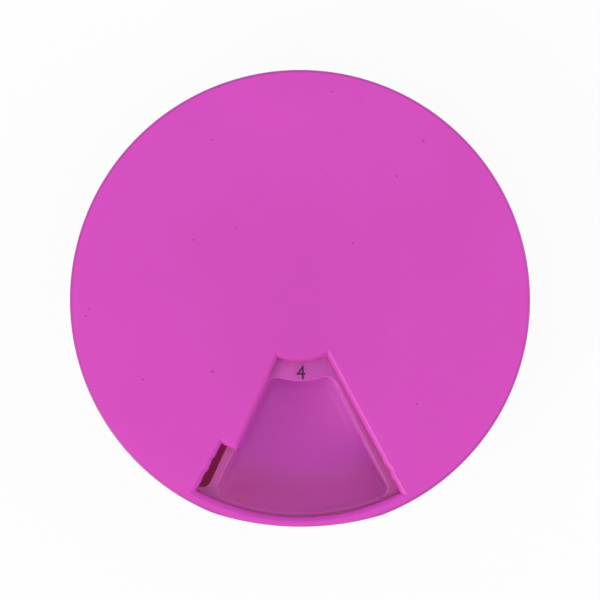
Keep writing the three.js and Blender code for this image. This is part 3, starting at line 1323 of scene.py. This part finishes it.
ink_finish = Finish("number_ink")
uneven = ink_finish.noise(ink_finish.millimetres, ink_scale, coarse_detail)
base = ink_finish.mixed(uneven.between(*ink_cover), ink_dark, ink_thin)
ink_finish.bump(uneven, ink_depth)
ink_finish.surface(Base_Color=base, Roughness=uneven.between(**ink_gloss), Specular_IOR_Level=0.2)
numbers.data.materials.append(ink_finish.material)
print("ink finished:", len(ink_finish.tree.nodes), "nodes")

# %% [markdown]
# ## The white sheet
#
# The box lies on a white sheet. What the camera sees of it is nearly plain white, which comes
# from a glow in the sheet's own material and not from more light on the box, and only a trace
# of the box's shadow is left. The sheet has a round hole where the box hides it, and is clear
# when it is seen from below, so that the underside of the box is lit and can be looked at.

# %% The white sheet
floor_white = 0.92
floor_gap = 0.1 * MM
floor_radius = 1.5
floor_hole = 43 * MM
floor_steps = 96
fibre_scale = 0.8
fibre_detail = 4.0
fibre_span = (0.3, 0.7)
fibre_roughness = (0.85, 0.95)
sheet_shades = (colour(0.8, 0.8, 0.8), colour(0.84, 0.84, 0.84))


def floor_mesh():
    """A wide flat ring that faces up."""
    bm = bmesh.new()
    edges = ring(bm, floor_radius, ORIGIN, floor_steps) + ring(bm, floor_hole, ORIGIN, floor_steps)
    bmesh.ops.bridge_loops(bm, edges=edges)
    bm.normal_update()
    bmesh.ops.reverse_faces(bm, faces=[f for f in bm.faces if f.normal.z < 0])
    mesh = bpy.data.meshes.new("floor")
    bm.to_mesh(mesh)
    bm.free()
    return mesh


def floor_finish():
    """White paper that glows for the camera, and is clear from below."""
    finish = Finish("white_sheet")
    fibres = finish.noise(finish.millimetres, fibre_scale, fibre_detail)
    base = finish.mixed(fibres.between(*fibre_span), *sheet_shades)
    finish.surface(Base_Color=base, Roughness=fibres.between(*fibre_span, *fibre_roughness))
    glow = finish.node("ShaderNodeEmission", None, {"Color": colour(1, 1, 1), "Strength": 1.0})
    upper = finish.blended(finish.seen() * floor_white, finish.shader, glow)
    from_below = finish.node("ShaderNodeNewGeometry").outputs["Backfacing"]
    clear = finish.node("ShaderNodeBsdfTransparent")
    finish.end(finish.blended(from_below, upper, clear))
    return finish.material


sheet = bpy.data.objects.new("floor", floor_mesh())
sheet.data.materials.append(floor_finish())
sheet.location.z = -floor_gap
bpy.context.scene.collection.objects.link(sheet)
print("the sheet is", 2 * floor_radius, "m across, its hole", round(2 * floor_hole / MM), "mm")

# %% [markdown]
# ## The light
#
# A pale, slightly bluish room lights the box evenly. A small warm key lamp stands low at the
# lower left of the picture and draws the bright lines along the edges that face it. A wide
# fill lamp at the right opens the shadows, and a weak blue one, close above the upper left,
# gives that part of the lid a tinge of daylight. The room's own colour lights the box, but
# the camera sees plain white in its place.

# %% The room
room_level = 0.775
room_colour = colour(0.92, 0.95, 1.0)

world = bpy.data.worlds.new("room")
world.use_nodes = True
bpy.context.scene.world = world
air = Nodes(world.node_tree)
room = air.tree.nodes["Background"]
air.put(room.inputs["Color"], room_colour)
air.put(room.inputs["Strength"], room_level)
white = air.node("ShaderNodeBackground", None, {"Color": colour(1, 1, 1)})
air.end(air.blended(air.seen(), room, white))
print("the room's nodes:", len(air.tree.nodes))

# %% The lamps
lamps = {
    "key_lamp": {"place": (-0.56, -0.45, 0.42), "size": 0.3, "power": 3.3, "tint": (1, 0.93, 0.82)},
    "fill_lamp": {"place": (0.6, 0.1, 0.2), "size": 0.5, "power": 1.4, "tint": (1, 0.95, 0.92)},
    "sky_lamp": {"place": (-0.15, 0.21, 0.2), "size": 0.25, "power": 0.135, "tint": (0.48, 0.4, 1)},
}


def area_light(name, place, size, power, tint):
    """A square lamp at a place, turned towards the box."""
    data = bpy.data.lights.new(name, "AREA")
    data.size = size
    data.energy = power
    data.color = tint
    light = bpy.data.objects.new(name, data)
    light.location = place
    light.rotation_euler = (-Vector(place)).to_track_quat("-Z", "Y").to_euler()
    bpy.context.scene.collection.objects.link(light)


for name, lamp in lamps.items():
    area_light(name, **lamp)
    print(name, "stands", round(Vector(lamp["place"]).length, 2), "m from the box")

# %% [markdown]
# ## The camera
#
# The photograph was taken from straight above, with the lid filling most of the frame and
# hardly any perspective. A long lens half a metre up gives the same view, and a small turn
# about its own axis lines the window up as it is in the picture.

# %% The camera
camera_height = 0.52
camera_lens = 155.3
camera_sensor = 36
camera_turn = math.radians(-0.7)

camera_data = bpy.data.cameras.new("camera")
camera_data.sensor_width = camera_sensor
camera_data.lens = camera_lens
camera = bpy.data.objects.new("camera", camera_data)
camera.location = (0, 0, camera_height)
camera.rotation_euler = (0, 0, camera_turn)
bpy.context.scene.collection.objects.link(camera)
bpy.context.scene.camera = camera
bpy.context.scene.view_settings.view_transform = "Standard"
seen_width = (camera_height - top) * camera_sensor / camera_lens
print("the picture is", round(seen_width / MM, 1), "mm wide at the lid's top")

# %% [markdown]
